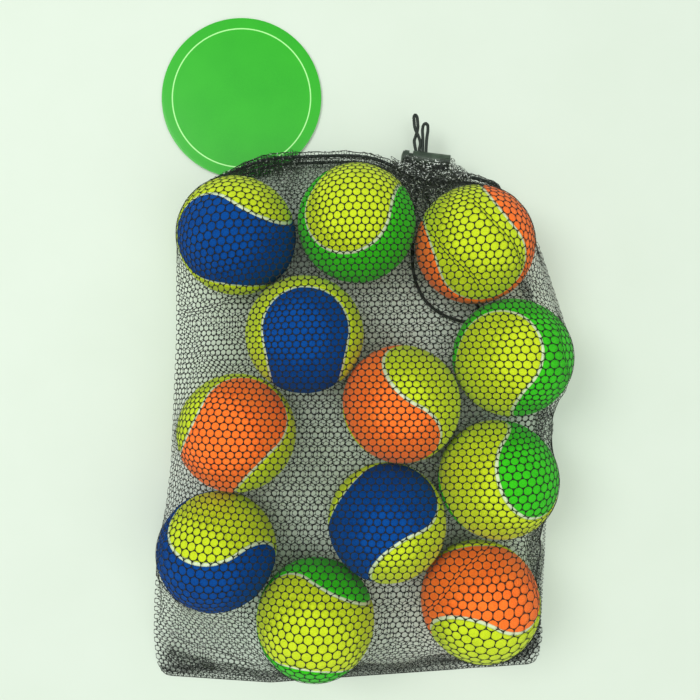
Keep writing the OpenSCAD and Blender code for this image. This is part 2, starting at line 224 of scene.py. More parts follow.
def sweep(path, radius, sides, closed=False):
    """Tube along a path. radius(distance, angle) gives an array of section radii."""
    along, side, up = carried_sides(path, closed)
    step = np.linalg.norm(np.diff(path, axis=0), axis=1)
    s = np.concatenate([[0], np.cumsum(step)])[:, None]
    a = (np.arange(sides) * 2 * np.pi / sides)[None, :]
    r = radius(s, a)[..., None]
    ring = path[:, None] + r * (np.cos(a)[..., None] * side[:, None] + np.sin(a)[..., None] * up[:, None])
    n = len(path)
    i, k = np.meshgrid(np.arange(n if closed else n - 1), np.arange(sides), indexing="ij")
    j, m = (i + 1) % n, (k + 1) % sides
    quads = np.stack([i * sides + k, i * sides + m, j * sides + m, j * sides + k], -1).reshape(-1, 4)
    points = ring.reshape(-1, 3)
    if closed:
        return points, [quads]
    caps = np.stack([np.arange(sides)[::-1], (n - 1) * sides + np.arange(sides)])
    return points, [quads, caps]


def knit(points, closed, half_w, half_t, rounding, rows=None, columns=None):
    """Thread net through a brick-wall lattice: vertices and quads, with a rounded hole in each cell."""
    k_count, m_count = points.shape[:2]
    if closed:
        next_m, previous_m = np.roll(points, -1, 1), np.roll(points, 1, 1)
        across = next_m - previous_m
    else:
        across = np.gradient(points, axis=1)
    normal = unit(np.cross(np.gradient(points, axis=0), across))
    lattice = points.reshape(-1, 3)
    beside = np.roll(points, -1, 1).reshape(-1, 3)
    above = np.roll(points, -1, 0).reshape(-1, 3)
    normals = normal.reshape(-1, 3)
    n = len(lattice)
    outline = np.concatenate([lattice, (lattice + beside) / 2, (lattice + above) / 2])
    outward = np.concatenate([normals,
                              unit(normals + np.roll(normal, -1, 1).reshape(-1, 3)),
                              unit(normals + np.roll(normal, -1, 0).reshape(-1, 3))])
    k, m = np.meshgrid(np.arange(k_count - 1), np.arange(m_count), indexing="ij")
    keep = (k + m) % 2 == 0
    if not closed:
        keep &= m < m_count - 2
    if rows is not None:
        keep &= (k >= rows[0]) & (k < rows[1])
    if columns is not None:
        keep &= (m >= columns[0]) & (m < columns[1])
    k, m = k[keep], m[keep]

    def at(kk, mm, block=0):
        return block * n + kk * m_count + mm % m_count

    cell = np.stack([at(k, m), at(k, m, 1), at(k, m + 1), at(k, m + 1, 1), at(k, m + 2), at(k, m + 2, 2),
                     at(k + 1, m + 2), at(k + 1, m + 1, 1), at(k + 1, m + 1), at(k + 1, m, 1),
                     at(k + 1, m), at(k, m, 2)], 1)
    corner = outline[cell]
    middle = corner.mean(1, keepdims=True)
    toward = middle - corner
    length = np.linalg.norm(toward, axis=2, keepdims=True)
    inset = np.where(np.arange(12) % 2 == 0, half_w + rounding, half_w)[None, :, None]
    hole = corner + toward / np.maximum(length, 1e-6) * np.minimum(inset, 0.42 * length)
    top = outline + outward * half_t
    bottom = outline - outward * half_t
    verts = np.concatenate([top, bottom, hole.reshape(-1, 3)])
    h = 6 * n + np.arange(len(cell) * 12).reshape(-1, 12)
    after = np.roll(cell, -1, 1)
    h_after = np.roll(h, -1, 1)
    upper = np.stack([after, cell, h, h_after], -1).reshape(-1, 4)
    lower = np.stack([cell + 3 * n, after + 3 * n, h_after, h], -1).reshape(-1, 4)
    return verts, np.concatenate([upper, lower])


# ---- Materials ---------------------------------------------------------------------------------

def srgb(r, g, b):
    """Linear colour from 0-255 screen values."""
    c = np.array([r, g, b]) / 255
    return tuple(np.where(c <= 0.04045, c / 12.92, ((c + 0.055) / 1.055) ** 2.4)) + (1.0,)


class Shader:
    """Principled material whose textures are placed by object coordinates."""

    def __init__(self, name, **values):
        self.material = bpy.data.materials.new(name)
        self.material.use_nodes = True
        self.tree = self.material.node_tree
        self.surface = self.tree.nodes["Principled BSDF"]
        self.place = self.tree.nodes.new("ShaderNodeTexCoord").outputs["Object"]
        for key, value in values.items():
            self.surface.inputs[key.replace("_", " ")].default_value = value

    def link(self, source, target):
        self.tree.links.new(source, target)

    def node(self, kind, values=None, **settings):
        node = self.tree.nodes.new(kind)
        for key, value in settings.items():
            setattr(node, key, value)
        for key, value in (values or {}).items():
            if hasattr(value, "is_output"):
                self.link(value, node.inputs[key])
            else:
                node.inputs[key].default_value = value
        return node

    def noise(self, size, detail=3.0, roughness=0.55):
        """Noise whose features measure about size mm."""
        values = {"Vector": self.place, "Scale": 1 / (size * MM), "Detail": detail, "Roughness": roughness}
        return self.node("ShaderNodeTexNoise", values).outputs["Fac"]

    def spread(self, value, low, high, to_low=0.0, to_high=1.0):
        values = {0: value, 1: low, 2: high, 3: to_low, 4: to_high}
        return self.node("ShaderNodeMapRange", values).outputs[0]

    def math(self, operation, a, b):
        return self.node("ShaderNodeMath", {0: a, 1: b}, operation=operation).outputs[0]

    def mix(self, factor, a, b):
        node = self.node("ShaderNodeMix", {0: factor, 6: a, 7: b}, data_type="RGBA")
        return node.outputs[2]

    def color(self, value):
        self.link(value, self.surface.inputs["Base Color"])

    def roughness(self, value):
        self.link(value, self.surface.inputs["Roughness"])

    def bump(self, height, depth, strength=1.0):
        """depth is the relief in mm."""
        values = {"Strength": strength, "Distance": depth * MM, "Height": height}
        node = self.node("ShaderNodeBump", values)
        self.link(node.outputs[0], self.surface.inputs["Normal"])


def shade(color, factor):
    return tuple(min(1.0, c * factor) for c in color[:3]) + (1.0,)


def felt_material(name, color, shadow, sheen):
    """Napped felt: tangled fibres, soft patches where the nap lies differently, and a sheen."""
    s = Shader(name, Roughness=0.95, Sheen_Weight=sheen, Sheen_Roughness=0.5, Specular_IOR_Level=0.15)
    fibre = s.noise(0.55, 4.0, 0.65)
    patch = s.noise(9.0, 2.0)
    tone = s.mix(s.spread(fibre, 0.32, 0.68), shadow, color)
    s.color(s.mix(s.spread(patch, 0.35, 0.7, 0.0, 0.35), tone, shade(color, 1.12)))
    nap = s.math("ADD", fibre, s.math("MULTIPLY", s.noise(1.6, 2.0), 0.8))
    s.bump(nap, 0.35, 0.8)
    return s.material


def ball_seam_material():
    s = Shader("ball_seam", Roughness=0.6, Specular_IOR_Level=0.3)
    grain = s.noise(0.8, 3.0)
    s.color(s.mix(grain, srgb(190, 206, 162), srgb(218, 230, 194)))
    s.bump(grain, 0.15, 0.5)
    return s.material


def rubber_material():
    s = Shader("core_rubber", Roughness=0.75)
    grain = s.noise(2.0, 3.0)
    s.color(s.mix(grain, srgb(58, 58, 55), srgb(82, 82, 78)))
    s.bump(grain, 0.1, 0.4)
    return s.material


def thread_material(name, dark, light, rough, painted_glint=None, glint_from=0.6):
    """Black multifilament thread: a fine filament grain, and painted highlights: bright flecks painted
    where it would catch the light.
    """
    s = Shader(name, Roughness=rough, Specular_IOR_Level=0.25)
    filament = s.noise(0.16, 2.0)
    patch = s.noise(14.0, 2.0)
    tone = s.mix(s.spread(filament, 0.35, 0.65), dark, light)
    tone = s.mix(s.spread(patch, 0.4, 0.7, 0.0, 0.5), tone, dark)
    if painted_glint is not None:
        # Painted highlight: bright flecks painted into the thread's colour.
        tone = s.mix(s.spread(s.noise(1.5, 1.0), glint_from, glint_from + 0.04), tone, painted_glint)
    s.color(tone)
    s.roughness(s.spread(filament, 0.3, 0.7, rough - 0.1, rough + 0.12))
    s.bump(filament, 0.05, 0.7)
    return s.material


def plastic_material():
    """Moulded plastic with a fine spark texture and slightly polished patches."""
    s = Shader("lock_moulding", Roughness=0.42, Specular_IOR_Level=0.5)
    grain = s.noise(0.22, 2.0)
    wear = s.noise(5.0, 4.0)
    s.color(s.mix(s.spread(wear, 0.4, 0.65), srgb(40, 54, 42), srgb(62, 78, 62)))
    s.roughness(s.spread(wear, 0.35, 0.65, 0.5, 0.34))
    s.bump(grain, 0.03, 0.6)
    return s.material


def steel_material():
    s = Shader("spring_wire", Metallic=1.0, Roughness=0.3)
    drawn = s.noise(0.3, 2.0)
    s.color(s.mix(drawn, srgb(150, 152, 156), srgb(196, 198, 202)))
    s.roughness(s.spread(drawn, 0.3, 0.7, 0.22, 0.38))
    s.bump(drawn, 0.01, 0.4)
    return s.material


def tag_material(radius):
    """Glossy printed card: a green field, a thin pale ring and a white cut edge."""
    s = Shader("tag_print", Roughness=0.4, Specular_IOR_Level=0.3, Coat_Weight=0.35, Coat_Roughness=0.12)
    xyz = s.node("ShaderNodeSeparateXYZ", {0: s.place})
    flat = s.node("ShaderNodeCombineXYZ", {0: xyz.outputs[0], 1: xyz.outputs[1]})
    distance = s.node("ShaderNodeVectorMath", {0: flat.outputs[0]}, operation="LENGTH").outputs["Value"]
    ring_w = RING_HALF_W * MM
    off_ring = s.math("ABSOLUTE", s.math("SUBTRACT", distance, RING_SHARE * radius * MM), 0.0)
    ring = s.spread(off_ring, ring_w, ring_w * 1.6, 1.0, 0.0)
    edge = s.spread(distance, (radius - 0.16) * MM, (radius - 0.04) * MM)
    ink = s.noise(0.35, 2.0)
    cloud = s.noise(30.0, 2.0)
    green = s.mix(s.spread(ink, 0.35, 0.65), srgb(20, 160, 4), srgb(28, 172, 8))
    green = s.mix(s.spread(cloud, 0.35, 0.65, 0.0, 0.5), green, srgb(38, 178, 16))
    printed = s.mix(ring, green, srgb(170, 240, 150))
    s.color(s.mix(edge, printed, srgb(214, 226, 206)))
    s.bump(s.noise(1.2, 3.0), 0.012, 0.5)
    return s.material


def floor_material():
    s = Shader("table_top", Roughness=0.7, Specular_IOR_Level=0.2)
    haze = s.noise(60.0, 3.0)
    s.color(s.mix(haze, srgb(208, 219, 205), srgb(214, 224, 212)))
    return s.material


FELT = {
    "yellow": felt_material("felt_yellow", srgb(206, 226, 36), srgb(168, 190, 18), 0.12),
    "blue": felt_material("felt_blue", srgb(0, 74, 152), srgb(0, 48, 112), 0.02),
    "green": felt_material("felt_green", srgb(58, 200, 24), srgb(34, 164, 10), 0.1),
    "orange": felt_material("felt_orange", srgb(255, 130, 46), srgb(244, 90, 22), 0.12),
}
SEAM_PALE = ball_seam_material()
RUBBER = rubber_material()
THREAD = thread_material("net_thread", srgb(8, 11, 10), srgb(36, 42, 36), 0.5)
# The binding thread's pale flecks are painted highlights.
BINDING = thread_material("binding_thread", srgb(10, 13, 12), srgb(46, 52, 48), 0.4,
                          srgb(176, 184, 176), 0.62)
# The frill thread is black thread painted light grey, as painted highlight on the bunched net; its white
# flecks are painted highlights and painted light showing through the bunch.
FRILL = thread_material("frill_thread", srgb(30, 34, 31), srgb(96, 104, 94), 0.3,
                        srgb(232, 238, 232), 0.57)
CORD = thread_material("cord_braid", srgb(24, 31, 27), srgb(50, 60, 54), 0.55)
PLASTIC = plastic_material()


# ---- Balls -------------------------------------------------------------------------------------

def seam_distance(p):
    """Distance in mm over the ball from the seam line; positive in the yellow panel. p is unit."""
    c, s = math.cos(LOBE_TILT), math.sin(LOBE_TILT)
    to_x = np.arccos(np.clip(np.abs(p[:, 0]) * c - p[:, 2] * s, -1, 1))
    to_y = np.arccos(np.clip(np.abs(p[:, 1]) * c + p[:, 2] * s, -1, 1))
    return BALL_R * np.where(p[:, 2] <= 0, LOBE_ANGLE - to_x, to_y - LOBE_ANGLE)


def cut_sphere():
    """Unit sphere in triangles, cut along the seam line and along the lines of the felt's lip."""
    bm = bmesh.new()
    bmesh.ops.create_icosphere(bm, subdivisions=6, radius=1.0)
    bmesh.ops.bisect_plane(bm, geom=bm.verts[:] + bm.edges[:] + bm.faces[:], dist=1e-6,
                           plane_co=(0, 0, 0), plane_no=(0, 0, 1))
    lips = [SEAM_HALF + LIP_W * t for t in (0, 0.1, 0.28, 0.58, 1)]
    levels = [-d for d in lips] + [-0.55 * SEAM_HALF, 0, 0.55 * SEAM_HALF] + lips
    c, s = math.cos(LOBE_TILT), math.sin(LOBE_TILT)
    for side, axes in ((-1, [(c, 0, -s), (-c, 0, -s)]), (1, [(0, c, s), (0, -c, s)])):
        for axis in axes:
            for level in levels:
                angle = LOBE_ANGLE - side * -level / BALL_R
                faces = [f for f in bm.faces if f.calc_center_median().z * side > 0]
                edges = list({e for f in faces for e in f.edges})
                verts = list({v for f in faces for v in f.verts})
                bmesh.ops.bisect_plane(bm, geom=verts + edges + faces, dist=1e-6,
                                       plane_co=Vector(axis) * math.cos(angle), plane_no=axis)
    bmesh.ops.triangulate(bm, faces=bm.faces[:])
    bm.verts.ensure_lookup_table()
    points = unit(np.array([v.co for v in bm.verts]))
    triangles = np.array([[v.index for v in f.verts] for f in bm.faces])
    bm.free()
    return points, triangles


def close_shell(outer, inner, triangles):
    """Solid between an outer and an inner copy of a patch."""
    n = len(outer)
    edges = np.concatenate([triangles[:, [0, 1]], triangles[:, [1, 2]], triangles[:, [2, 0]]])
    forward = edges[:, 0] * n + edges[:, 1]
    rim = edges[~np.isin(forward, edges[:, 1] * n + edges[:, 0])]
    walls = np.stack([rim[:, 1], rim[:, 0], rim[:, 0] + n, rim[:, 1] + n], 1)
    return np.concatenate([outer, inner]), [triangles, triangles[:, ::-1] + n, walls]


def ball_parts():
    """Unit points and triangles of the yellow panel, the coloured panel and the seam."""
    points, triangles = cut_sphere()
    middle = seam_distance(unit(points[triangles].mean(1)))
    return points, (triangles[middle > SEAM_HALF], triangles[middle < -SEAM_HALF],
                    triangles[np.abs(middle) < SEAM_HALF])


def felt_turn(node, centre):
    """How a ball's felt pattern is turned, found from the shape of its yellow CAD panel."""
    points, triangles = node_mesh(node)
    corners = points[triangles] - centre
    area = np.linalg.norm(np.cross(corners[:, 1] - corners[:, 0], corners[:, 2] - corners[:, 0]), axis=1)
    p = corners.mean(1)
    y_axis, _, x_axis = np.linalg.eigh((p * area[:, None]).T @ p)[1].T
    turns = [np.stack([x_axis, sign * y_axis, sign * np.cross(x_axis, y_axis)], 1) for sign in (1, -1)]
    return max(turns, key=lambda turn: (area * (seam_distance(unit(p @ turn)) > 0)).sum())


def make_balls():
    points, (yellow, colored, seam) = ball_parts()
    off_seam = np.abs(seam_distance(points)) - SEAM_HALF
    t = np.clip(off_seam / LIP_W, 0, 1)
    lip = LIP_DROP * (1 - np.sqrt(1 - (1 - t) ** 2))
    bulge = 0.3 * np.cos(np.clip(1 + off_seam / SEAM_HALF, 0, 1) * np.pi / 2)
    centres = []
    for i, color in enumerate(BALL_COLORS, 1):
        ball = f"ball_{i:02d}"
        low, high = node_box(f"{ball}_core")
        centre = (low + high) / 2
        centres.append(centre)
        turn = felt_turn(f"{ball}_yellow_felt", centre)
        place = Matrix.Translation(Vector(centre * MM))
        local = points * BALL_R
        nap = NAP_HEIGHT * waves(local, 1.8, 4.5, 20, 100 + i) + 0.05 * waves(local, 9, 20, 8, 300 + i)
        felt = points * (BALL_R - 0.08 - lip + np.clip(nap, -0.2, 0.2))[:, None]
        lining = points * LINING_R
        for part, triangles, material, slot in (
                ("yellow", yellow, FELT["yellow"], "felt_yellow"),
                ("color", colored, FELT[color], f"felt_{color}")):
            verts, faces = close_shell(felt, lining, triangles)
            mesh = new_mesh(f"{ball}_{part}_nap", verts @ turn.T, *faces)
            piece(f"{ball}_{part}_nap", mesh, material, ball, slot, f"{ball}_{part}_felt", place=place)
        strip = points * (BALL_R - 0.95 + bulge + 0.05 * waves(local, 2, 5, 10, 500 + i))[:, None]
        verts, faces = close_shell(strip, lining, seam)
        mesh = new_mesh(f"{ball}_seam_strip", verts @ turn.T, *faces)
        piece(f"{ball}_seam_strip", mesh, SEAM_PALE, ball, "ball_seam", f"{ball}_seam", place=place)
        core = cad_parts[f"{ball}_core"]
        core.data.materials.clear()
        core.data.materials.append(RUBBER)
    return np.array(centres)


# ---- Bag outline and mouth ---------------------------------------------------------------------

def hem_y(x):
    """How far up the bag the hem's centre line is, over x."""
    r = ((MOUTH_W / 2) ** 2 + MOUTH_RISE ** 2) / (2 * MOUTH_RISE)
    arc = MOUTH_Y + MOUTH_RISE - r + np.sqrt(r * r - (x - MOUTH_X) ** 2)
    return arc - CINCH_DIP * bell(x, LOCK_X, CINCH_W) + 3.2 * bell(x, -58, 24)


def outline(r):
    """Convex outline at distance r from the corner centres, anticlockwise, five points a corner."""
    edge = np.roll(CORNERS, -1, 0) - CORNERS
    angle = np.arctan2(edge[:, 1], edge[:, 0])
    before = np.roll(angle, 1)
    swing = (angle - before) % (2 * np.pi)
    a = before[:, None] - np.pi / 2 + swing[:, None] * np.linspace(0, 1, 5)
    around = CORNERS[:, None] + r * np.stack([np.cos(a), np.sin(a)], -1)
    return around.reshape(-1, 2)


def hem_loop():
    """The hem's centre line, from its right end over the front to the left and back underneath."""
    end_r = (HEM_TOP_Z - HEM_LOW_Z) / 2
    mid_z = (HEM_TOP_Z + HEM_LOW_Z) / 2
    left, right = MOUTH_X - MOUTH_W / 2 + end_r, MOUTH_X + MOUTH_W / 2 - end_r
    up = np.radians(np.arange(0, 90, 10))
    front_x = np.linspace(right, left, 160)
    x = np.concatenate([right + end_r * np.cos(up), front_x, left - end_r * np.sin(up[1:]),
                        left - end_r * np.cos(up), front_x[::-1], right + end_r * np.sin(up)])
    z = np.concatenate([mid_z + end_r * np.sin(up), np.full(160, HEM_TOP_Z), mid_z + end_r * np.cos(up[1:]),
                        mid_z - end_r * np.sin(up), np.full(160, HEM_LOW_Z), mid_z - end_r * np.cos(up)])
    return np.stack([x, hem_y(x), z], 1)


# ---- Net ---------------------------------------------------------------------------------------

def with_z(xy, z):
    return np.column_stack([xy, np.full(len(xy), z) if np.isscalar(z) else z])


# The fold down the bag's left side, from the bottom corner to the mouth, pushed out by balls 9 and 1.
LEFT_FOLD = np.array([[-121, -156, 0.9], [-124, -149, 1.5], [-123.5, -130, 9], [-119.5, -105, 22],
                      [-114.6, -73, 33.5], [-110, -48, 33], [-107.5, -25, 32], [-106, 10, 32],
                      [-104.5, 45, 32], [-104, 80, 33.5], [-103.6, 103, 34], [-98, 124, 25],
                      [-92.5, 133.5, 13]])


def slanted(path, share):
    """ROWS + 1 points along a path, its middle ones moved along it by a share of its length."""
    fine = resample(path, 2000)
    t = np.linspace(0, 1, ROWS + 1)
    return fine[np.round(1999 * (t + share * np.sin(np.pi * t))).astype(int)]


def net_borders():
    """Lines the net is held along: bottom seam, mouth, right seam and left fold."""
    ring = outline(SEAM_OFFSET)
    half = ROUND_POINTS // 2
    bottom = resample(with_z(ring[12::-1], 0.9), half + 1)
    right = resample(with_z(ring[12:22], 0.9), 160)
    right[:, 0] -= 3.5 * bell(right[:, 1], -68, 15) + 1.5 * waves(right, 18, 40, 5, 31)
    y = right[:, 1]
    bridge = smoothstep(y, 28, 48) * (1 - smoothstep(y, 99, 114))
    right[:, 0] += (BRIDGE_X + BRIDGE_LEAN * (BRIDGE_Y - y) - right[:, 0]) * bridge
    right[:, 2] += BRIDGE_RISE * bridge
    right = np.concatenate([right, [[88, 127, 5], [MOUTH_X + MOUTH_W / 2, MOUTH_Y, 13]]])
    loop = hem_loop()

    def gather(p):
        front = smoothstep(p[:, 2], 12, 18)
        return 1 + front * (1.5 * bell(p[:, 0], LOCK_X, 13) + 0.8 * bell(p[:, 0], -52, 20)
                            + 0.6 * bell(p[:, 0], 68, 20))

    middle = len(loop) // 2
    front = resample(loop[:middle + 1], half + 1, gather)
    back = resample(np.concatenate([loop[middle:], loop[:1]]), half + 1)
    mouth = np.concatenate([front[:-1], back[:-1]])
    bottom = np.concatenate([bottom[:-1], bottom[::-1][:-1]])
    return bottom, mouth, slanted(right, -ROW_SLANT), slanted(LEFT_FOLD, ROW_SLANT)


def first_net(bottom, mouth, right, left):
    """Starting shape of the net: an upright box section between the two edges, pinched at the ends."""
    half = ROUND_POINTS // 2
    k = np.arange(ROWS + 1) / ROWS
    height = TENT_HEIGHT * smoothstep(k, -0.02, 0.13) * (1 - 0.8 * smoothstep(k, 0.88, 1.0))
    net = np.empty((ROWS + 1, ROUND_POINTS, 3))
    for row in range(ROWS + 1):
        r, l, top = right[row], left[row], height[row] + 1
        l_foot = l * (1, 1, 0) + (0, 0, 0.5)
        front = resample([r, r * (1, 1, 0) + (0, 0, top), l * (1, 1, 0) + (0, 0, top), l], half + 1)
        back = resample([l, l_foot, r], half + 1)
        net[row] = np.concatenate([front[:-1], back[:-1]])
    net[0], net[-1] = bottom, mouth
    for row in range(1, 5):
        net[-1 - row] = net[-1] + (net[-6] - net[-1]) * row / 5
    return net


def relax_net(centres, rounds=600, stiffness=0.9, momentum=0.9, weight=0.004):
    """Lets an even pull in the threads settle the net over the balls and on the table."""
    bottom, mouth, right, left = net_borders()
    net = first_net(bottom, mouth, right, left)
    k, m = np.meshgrid(np.arange(ROWS + 1), np.arange(ROUND_POINTS), indexing="ij")
    upward = ((k + m) % 2 == 0)[..., None]
    old = net.copy()
    low_z = np.where(m[0] < ROUND_POINTS // 2, FLOOR_Z + FRONT_LIFT, FLOOR_Z)
    low_z[:3] = low_z[-3:] = FLOOR_Z
    for _ in range(rounds):
        above = np.roll(net, -1, 0)
        below = np.roll(net, 1, 0)
        pull = (np.roll(net, 1, 1) + np.roll(net, -1, 1) + np.where(upward, above, below)) / 3 - net
        step = stiffness * pull + momentum * (net - old)
        step[..., 2] -= weight
        old = net
        net = net + step
        net[0], net[-1] = bottom, mouth
        net[:, 0] = right
        net[:, ROUND_POINTS // 2] = left
        net[..., 2] = np.maximum(net[..., 2], low_z)
        for c in centres:
            away = net - c
            d = np.linalg.norm(away, axis=-1, keepdims=True)
            inside = d < BALL_R + BALL_GAP
            net = np.where(inside, c + away / np.maximum(d, 1e-6) * (BALL_R + BALL_GAP), net)
        net[..., 2] = np.maximum(net[..., 2], FLOOR_Z)
    return net


# ---- Folds and ruffles of the net --------------------------------------------------------------

# Creases of the front net, each from one point to another in plan, in mm, with the width they gather.
CREASES = (
    ((36, 100), (60, 72), 5.0), ((58, 118), (92, 74), 6.0), ((24, 96), (40, 120), 4.0),
    ((30, -100), (66, -62), 4.0), ((86, -62), (97, -112), 6.5), ((-112, -128), (-62, -142), 6.0),
    ((84, -58), (104, -76), 5.0), ((60, -146), (92, -134), 5.0), ((-98, 60), (-66, 66), 5.0),
    ((104, 52), (112, 4), 5.0), ((-118, -120), (-108, -60), 5.0),
)


def crease(net, start, end, width):
    """Gathers the front net into a narrow pleat along a line in plan."""
    start, end = np.array(start, float), np.array(end, float)
    span = np.linalg.norm(end - start)
    along = (end - start) / span
    across = np.array([-along[1], along[0]])
    offset = net[..., :2] - start
    t = offset @ along
    s = offset @ across + 1.2 * np.sin(t / 7.0)
    reach = smoothstep(t, -7, 6) * (1 - smoothstep(t, span - 6, span + 7))
    pull = 0.66 * s * bell(s, 0, width) * reach
    net[..., :2] -= pull[..., None] * across
    net[..., 2] += 0.7 * bell(s, 0, 0.6 * width) * reach


def ruffle(net):
    """Pleats that run down from the gathered mouth, deepest at the lock."""
    half = ROUND_POINTS // 2
    front = net[:, :half]
    x, y = front[..., 0], front[..., 1]
    below = hem_y(np.clip(x, MOUTH_X - 80, MOUTH_X + 80)) - y
    strength = 0.35 + 0.9 * bell(x, LOCK_X, 16) + 0.6 * bell(x, -48, 22)
    fade = np.exp(-np.clip(below, 0, None) / (9 + 12 * strength)) * strength
    phase = 2 * np.pi * x / 6.4 + 1.6 * np.sin(x / 9.0) + 0.05 * below * np.sin(x / 5.0)
    front[..., 0] += -1.35 * np.sin(phase) * fade
    front[..., 2] += 1.5 * (0.5 + 0.5 * np.cos(phase)) * fade
    front[..., 1] += 0.5 * np.sin(1.7 * phase + 1) * fade


def clear_balls(net, centres):
    """Pushes the net back out of the balls and off the table after it has been folded."""
    for c in centres:
        away = net - c
        d = np.linalg.norm(away, axis=-1, keepdims=True)
        net = np.where(d < BALL_R + BALL_GAP, c + away / d * (BALL_R + BALL_GAP), net)
    net[..., 2] = np.maximum(net[..., 2], FLOOR_Z)
    return net


def make_net(centres):
    """The net in four pieces: front and back, each in a lower and an upper half."""
    half_k, half_m = ROWS // 2, ROUND_POINTS // 2
    net = relax_net(centres)
    ruffle(net)
    for start, end, width in CREASES:
        crease(net[:, :half_m], start, end, width)
    net = clear_balls(net, centres)
    for name, columns, half_w in (("front", (0, half_m), FRONT_HALF_W),
                                  ("back", (half_m, ROUND_POINTS), BACK_HALF_W)):
        for part, rows in (("lower", (0, half_k)), ("upper", (half_k, ROWS))):
            verts, quads = knit(net, True, half_w, THREAD_HALF_T, HOLE_ROUNDING * half_w, rows, columns)
            mesh = new_mesh(f"net_{name}_{part}", verts, quads)
            piece(f"net_{name}_{part}", mesh, THREAD, "bag", "net", f"{name}_net")


# ---- Hem and seams -----------------------------------------------------------------------------

def hem_run():
    """Centre line of the hem's channel, from the right of the lock round the mouth to its left."""
    loop = hem_loop()
    n = len(loop)
    start = np.argmin(np.abs(loop[:, 0] - (LOCK_X - HEM_GAP)) + 100 * (loop[:, 2] < HEM_TOP_Z - 0.1))
    end = np.argmin(np.abs(loop[:, 0] - (LOCK_X + HEM_GAP)) + 100 * (loop[:, 2] < HEM_TOP_Z - 0.1))
    return loop[np.arange(start, end + n + 1) % n]


def wrapped_net(path, radius, around, pitch, seed):
    """Crinkled net wrapped round a path, as a lattice. radius(t) is for t from 0 to 1 along it."""
    length = np.linalg.norm(np.diff(path, axis=0), axis=1).sum()
    line = resample(path, int(length / pitch))
    _, side, up = carried_sides(line, False)
    line = line + 0.5 * np.stack([waves(line, 5, 14, 6, seed + i) for i in range(3)], 1)
    a = np.arange(around) * 2 * np.pi / around
    ring = np.cos(a)[None, :, None] * side[:, None] + np.sin(a)[None, :, None] * up[:, None]
    crinkle = np.clip(waves(line[:, None] + 2.5 * ring, 2.5, 7, 12, seed + 9), -1.3, 1.3)
    reach = radius(line)[:, None] * (1 + 0.22 * crinkle)
    return line[:, None] + ring * reach[..., None]


def hem_size(p):
    """Outside radius of the hem: fuller at the lock and left of it, thinner at the mouth's ends."""
    end = np.abs(p[:, 0] - MOUTH_X) / (MOUTH_W / 2)
    return 2.5 - 1.4 * smoothstep(end, 0.62, 1.0) + 0.6 * bell(p[:, 0], -48, 16)


def make_hem():
    path = hem_run()
    net = wrapped_net(path, hem_size, 8, 1.7, 40)
    verts, quads = knit(net, True, 0.13, 0.12, 0.08)
    piece("mouth_hem_channel", new_mesh("mouth_hem_channel", verts, quads), BINDING, "bag", "net_binding",
          "mouth_hem")
    line = resample(path, 900)
    fold = hem_size(line)[:, None] * (0, 0.85, 0.3) + 0.25 * waves(line, 6, 15, 6, 91)[:, None]
    points, faces = sweep(line + fold, lambda s, a: 0.26 + 0.08 * np.sin(7 * s + 2 * a), 8)
    piece("mouth_hem_fold", new_mesh("mouth_hem_fold", points, *faces), BINDING, "bag", "net_binding")


def crumpled_net(name, low_line, high_line, rows, columns, depth, seed, *nodes,
                 material=BINDING, half_w=0.16):
    """Crumpled band of net between two lines, each with as many points as the other."""
    v = np.linspace(0, 1, rows)[:, None, None]
    low, high = resample(low_line, columns), resample(high_line, columns)
    sheet = low * (1 - v) + high * v
    fine = np.stack([waves(sheet * (1, 1, 0), 3.5, 9, 12, seed + i) for i in range(3)], -1)
    broad = waves(sheet * (1, 1, 0), 9, 22, 8, seed + 5)[..., None]
    rim = np.sin(np.pi * v) ** 0.5
    sheet = sheet + fine * depth * (0.55, 0.55, 0.6) * (0.4 + 0.6 * rim) + broad * depth * (0.3, 0.3, 0.5)
    sheet[..., 2] = np.maximum(sheet[..., 2], FLOOR_Z)
    verts, quads = knit(sheet[::-1], False, half_w, 0.14, 0.6 * half_w)
    piece(name, new_mesh(name, verts, quads), material, "bag", "net_binding", *nodes)


def make_lock_frill():
    """Net bunched up over the lower half of the lock, below it, and in the gap between balls 2 and 3."""
    x = np.linspace(17, 62, 60)
    over_lock = smoothstep(x, 20, 26) * (1 - smoothstep(x, 50, 57))
    far = 1 - smoothstep(x, 48, 62)
    y = hem_y(x)
    low = np.stack([x - 2.5, y - 4 - 6 * far, 20 + 1.5 * far], 1)
    middle = np.stack([x, y + 1, 23.5 + 2.9 * over_lock], 1)
    high = np.stack([x + 1, y + 2 + 7.0 * over_lock, 21 + 6.4 * over_lock], 1)
    crumpled_net("mouth_frill_dark", low - (0, 0, 2.5), middle + (0, 4, -3.5), 12, 40, 1.3, 210, half_w=0.3)
    crumpled_net("mouth_frill_lower", low, middle, 9, 36, 1.5, 200, material=FRILL, half_w=0.24)
    crumpled_net("mouth_frill_upper", middle - (0, 3, 0.2), high, 12, 36, 1.0, 220,
                 material=FRILL, half_w=0.24)
    crumpled_net("mouth_frill_middle", middle - (1, 2, 0.8), high - (1, 1.5, 0.6), 11, 42, 0.8, 230,
                 half_w=0.26)
    x = np.linspace(16, 44, 30)
    notch = np.stack([x, np.full_like(x, 136), np.full_like(x, 19)], 1)
    gusset = np.stack([35 + 0.25 * (x - 29), np.full_like(x, 108), np.full_like(x, 9)], 1)
    crumpled_net("mouth_frill_gusset", gusset, notch, 20, 20, 1.8, 240, material=FRILL, half_w=0.2)


